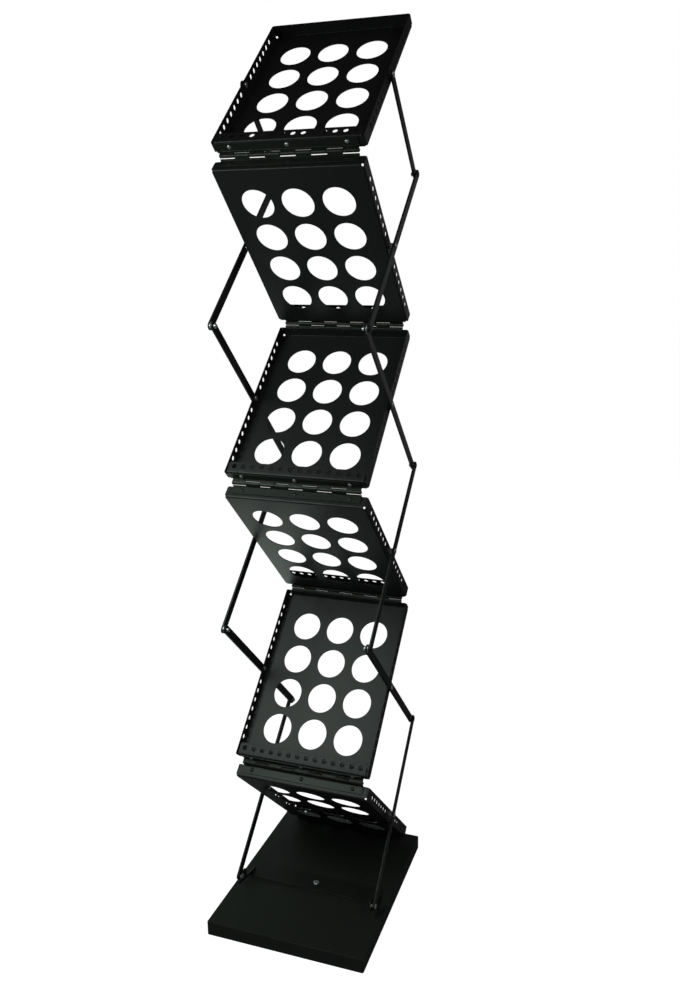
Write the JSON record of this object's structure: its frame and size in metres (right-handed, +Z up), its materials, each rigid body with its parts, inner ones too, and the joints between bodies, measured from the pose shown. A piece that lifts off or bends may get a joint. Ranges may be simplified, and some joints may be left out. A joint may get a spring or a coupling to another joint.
{
  "type": "newspaper rack",
  "caption": "Folding zig-zag newspaper and brochure stand: perforated steel trays hinged edge to edge on crossed side struts and a flat base.",
  "frame": {"origin": "centre of the base board's underside", "axes": "+Z up, -Y to the stand's front, +X to its right side"},
  "size_m": [0.278, 0.3137, 1.4832],
  "materials": {
    "tray_paint": "black powder coat, semi-gloss, fine orange peel",
    "strut_paint": "black powder coat, semi-gloss",
    "hinge_paint": "black powder coat over a rolled hinge",
    "board_gloss": "high-gloss black lacquer",
    "zinc": "bright zinc plate"
  },
  "bodies": {
    "base": {"base_board": "board_gloss", "foot_strap": "hinge_paint", "hinge_1_lower_leaf": "hinge_paint"},
    "tray_1": {"tray_1": "tray_paint", "hinge_1_upper_leaf": "hinge_paint", "hinge_1_pin": "zinc", "hinge_2_lower_leaf": "hinge_paint", "tray_pivot_1_left": "zinc", "tray_pivot_1_right": "zinc"},
    "tray_2": {"tray_2": "tray_paint", "hinge_2_upper_leaf": "hinge_paint", "hinge_2_pin": "zinc", "hinge_3_lower_leaf": "hinge_paint", "tray_pivot_2_left": "zinc", "tray_pivot_2_right": "zinc"},
    "tray_3": {"tray_3": "tray_paint", "hinge_3_upper_leaf": "hinge_paint", "hinge_3_pin": "zinc", "hinge_4_lower_leaf": "hinge_paint", "tray_pivot_3_left": "zinc", "tray_pivot_3_right": "zinc"},
    "tray_4": {"tray_4": "tray_paint", "hinge_4_upper_leaf": "hinge_paint", "hinge_4_pin": "zinc", "hinge_5_lower_leaf": "hinge_paint", "tray_pivot_4_left": "zinc", "tray_pivot_4_right": "zinc"},
    "tray_5": {"tray_5": "tray_paint", "hinge_5_upper_leaf": "hinge_paint", "hinge_5_pin": "zinc", "hinge_6_lower_leaf": "hinge_paint", "tray_pivot_5_left": "zinc", "tray_pivot_5_right": "zinc"},
    "tray_6": {"tray_6": "tray_paint", "hinge_6_upper_leaf": "hinge_paint", "hinge_6_pin": "zinc", "tray_pivot_6_left": "zinc", "tray_pivot_6_right": "zinc"},
    "strut_1_left": {"strut_1_left": "strut_paint", "strut_rivet_1_left": "zinc"},
    "strut_1_right": {"strut_1_right": "strut_paint", "strut_rivet_1_right": "zinc"},
    "strut_2_left": {"strut_2_left": "strut_paint"},
    "strut_2_right": {"strut_2_right": "strut_paint"},
    "strut_3_left": {"strut_3_left": "strut_paint", "strut_rivet_2_left": "zinc", "strut_rivet_3_left": "zinc"},
    "strut_3_right": {"strut_3_right": "strut_paint", "strut_rivet_2_right": "zinc", "strut_rivet_3_right": "zinc"},
    "strut_4_left": {"strut_4_left": "strut_paint"},
    "strut_4_right": {"strut_4_right": "strut_paint"},
    "strut_5_left": {"strut_5_left": "strut_paint", "strut_rivet_4_left": "zinc", "strut_rivet_5_left": "zinc"},
    "strut_5_right": {"strut_5_right": "strut_paint", "strut_rivet_4_right": "zinc", "strut_rivet_5_right": "zinc"},
    "strut_6_left": {"strut_6_left": "strut_paint"},
    "strut_6_right": {"strut_6_right": "strut_paint"}
  },
  "joints": [
    {"name": "fold", "type": "hinge", "parent": "base", "child": "tray_1", "pos_m": [0, 0.137, 0.0305], "axis": [1, 0, 0], "range_deg": [0, 46]},
    {"name": "hinge_2", "type": "hinge", "parent": "tray_1", "child": "tray_2", "pos_m": [0, -0.06879, 0.27384], "axis": [1, 0, 0], "range_deg": [-92, 0]},
    {"name": "hinge_3", "type": "hinge", "parent": "tray_2", "child": "tray_3", "pos_m": [0, 0.137, 0.51718], "axis": [1, 0, 0], "range_deg": [0, 92]},
    {"name": "hinge_4", "type": "hinge", "parent": "tray_3", "child": "tray_4", "pos_m": [0, -0.06879, 0.76051], "axis": [1, 0, 0], "range_deg": [-92, 0]},
    {"name": "hinge_5", "type": "hinge", "parent": "tray_4", "child": "tray_5", "pos_m": [0, 0.137, 1.00385], "axis": [1, 0, 0], "range_deg": [0, 92]},
    {"name": "hinge_6", "type": "hinge", "parent": "tray_5", "child": "tray_6", "pos_m": [0, -0.06879, 1.24719], "axis": [1, 0, 0], "range_deg": [-92, 0]},
    {"name": "strut_1_left_pivot", "type": "hinge", "parent": "tray_1", "child": "strut_1_left", "pos_m": [-0.1265, 0.0341, 0.15217], "axis": [1, 0, 0], "range_deg": [-88.49, 0]},
    {"name": "strut_1_right_pivot", "type": "hinge", "parent": "tray_1", "child": "strut_1_right", "pos_m": [0.1265, 0.0341, 0.15217], "axis": [1, 0, 0], "range_deg": [-88.49, 0]},
    {"name": "strut_2_left_pivot", "type": "hinge", "parent": "tray_2", "child": "strut_2_left", "pos_m": [-0.1217, 0.0341, 0.39551], "axis": [1, 0, 0], "range_deg": [0, 88.49]},
    {"name": "strut_2_right_pivot", "type": "hinge", "parent": "tray_2", "child": "strut_2_right", "pos_m": [0.1217, 0.0341, 0.39551], "axis": [1, 0, 0], "range_deg": [0, 88.49]},
    {"name": "strut_3_left_pivot", "type": "hinge", "parent": "tray_3", "child": "strut_3_left", "pos_m": [-0.1265, 0.0341, 0.63884], "axis": [1, 0, 0], "range_deg": [-88.49, 0]},
    {"name": "strut_3_right_pivot", "type": "hinge", "parent": "tray_3", "child": "strut_3_right", "pos_m": [0.1265, 0.0341, 0.63884], "axis": [1, 0, 0], "range_deg": [-88.49, 0]},
    {"name": "strut_4_left_pivot", "type": "hinge", "parent": "tray_4", "child": "strut_4_left", "pos_m": [-0.1217, 0.0341, 0.88218], "axis": [1, 0, 0], "range_deg": [0, 88.49]},
    {"name": "strut_4_right_pivot", "type": "hinge", "parent": "tray_4", "child": "strut_4_right", "pos_m": [0.1217, 0.0341, 0.88218], "axis": [1, 0, 0], "range_deg": [0, 88.49]},
    {"name": "strut_5_left_pivot", "type": "hinge", "parent": "tray_5", "child": "strut_5_left", "pos_m": [-0.1265, 0.0341, 1.12552], "axis": [1, 0, 0], "range_deg": [-88.49, 0]},
    {"name": "strut_5_right_pivot", "type": "hinge", "parent": "tray_5", "child": "strut_5_right", "pos_m": [0.1265, 0.0341, 1.12552], "axis": [1, 0, 0], "range_deg": [-88.49, 0]},
    {"name": "strut_6_left_pivot", "type": "hinge", "parent": "tray_6", "child": "strut_6_left", "pos_m": [-0.1217, 0.0341, 1.36886], "axis": [1, 0, 0], "range_deg": [0, 88.49]},
    {"name": "strut_6_right_pivot", "type": "hinge", "parent": "tray_6", "child": "strut_6_right", "pos_m": [0.1217, 0.0341, 1.36886], "axis": [1, 0, 0], "range_deg": [0, 88.49]}
  ],
  "couplings": [
    {"joint": "hinge_2", "follows": "fold", "ratio": -2},
    {"joint": "hinge_3", "follows": "fold", "ratio": 2},
    {"joint": "hinge_4", "follows": "fold", "ratio": -2},
    {"joint": "hinge_5", "follows": "fold", "ratio": 2},
    {"joint": "hinge_6", "follows": "fold", "ratio": -2},
    {"joint": "strut_1_left_pivot", "follows": "fold", "ratio": -1.9236},
    {"joint": "strut_1_right_pivot", "follows": "fold", "ratio": -1.9236},
    {"joint": "strut_2_left_pivot", "follows": "fold", "ratio": 1.9236},
    {"joint": "strut_2_right_pivot", "follows": "fold", "ratio": 1.9236},
    {"joint": "strut_3_left_pivot", "follows": "fold", "ratio": -1.9236},
    {"joint": "strut_3_right_pivot", "follows": "fold", "ratio": -1.9236},
    {"joint": "strut_4_left_pivot", "follows": "fold", "ratio": 1.9236},
    {"joint": "strut_4_right_pivot", "follows": "fold", "ratio": 1.9236},
    {"joint": "strut_5_left_pivot", "follows": "fold", "ratio": -1.9236},
    {"joint": "strut_5_right_pivot", "follows": "fold", "ratio": -1.9236},
    {"joint": "strut_6_left_pivot", "follows": "fold", "ratio": 1.9236},
    {"joint": "strut_6_right_pivot", "follows": "fold", "ratio": 1.9236}
  ]
}
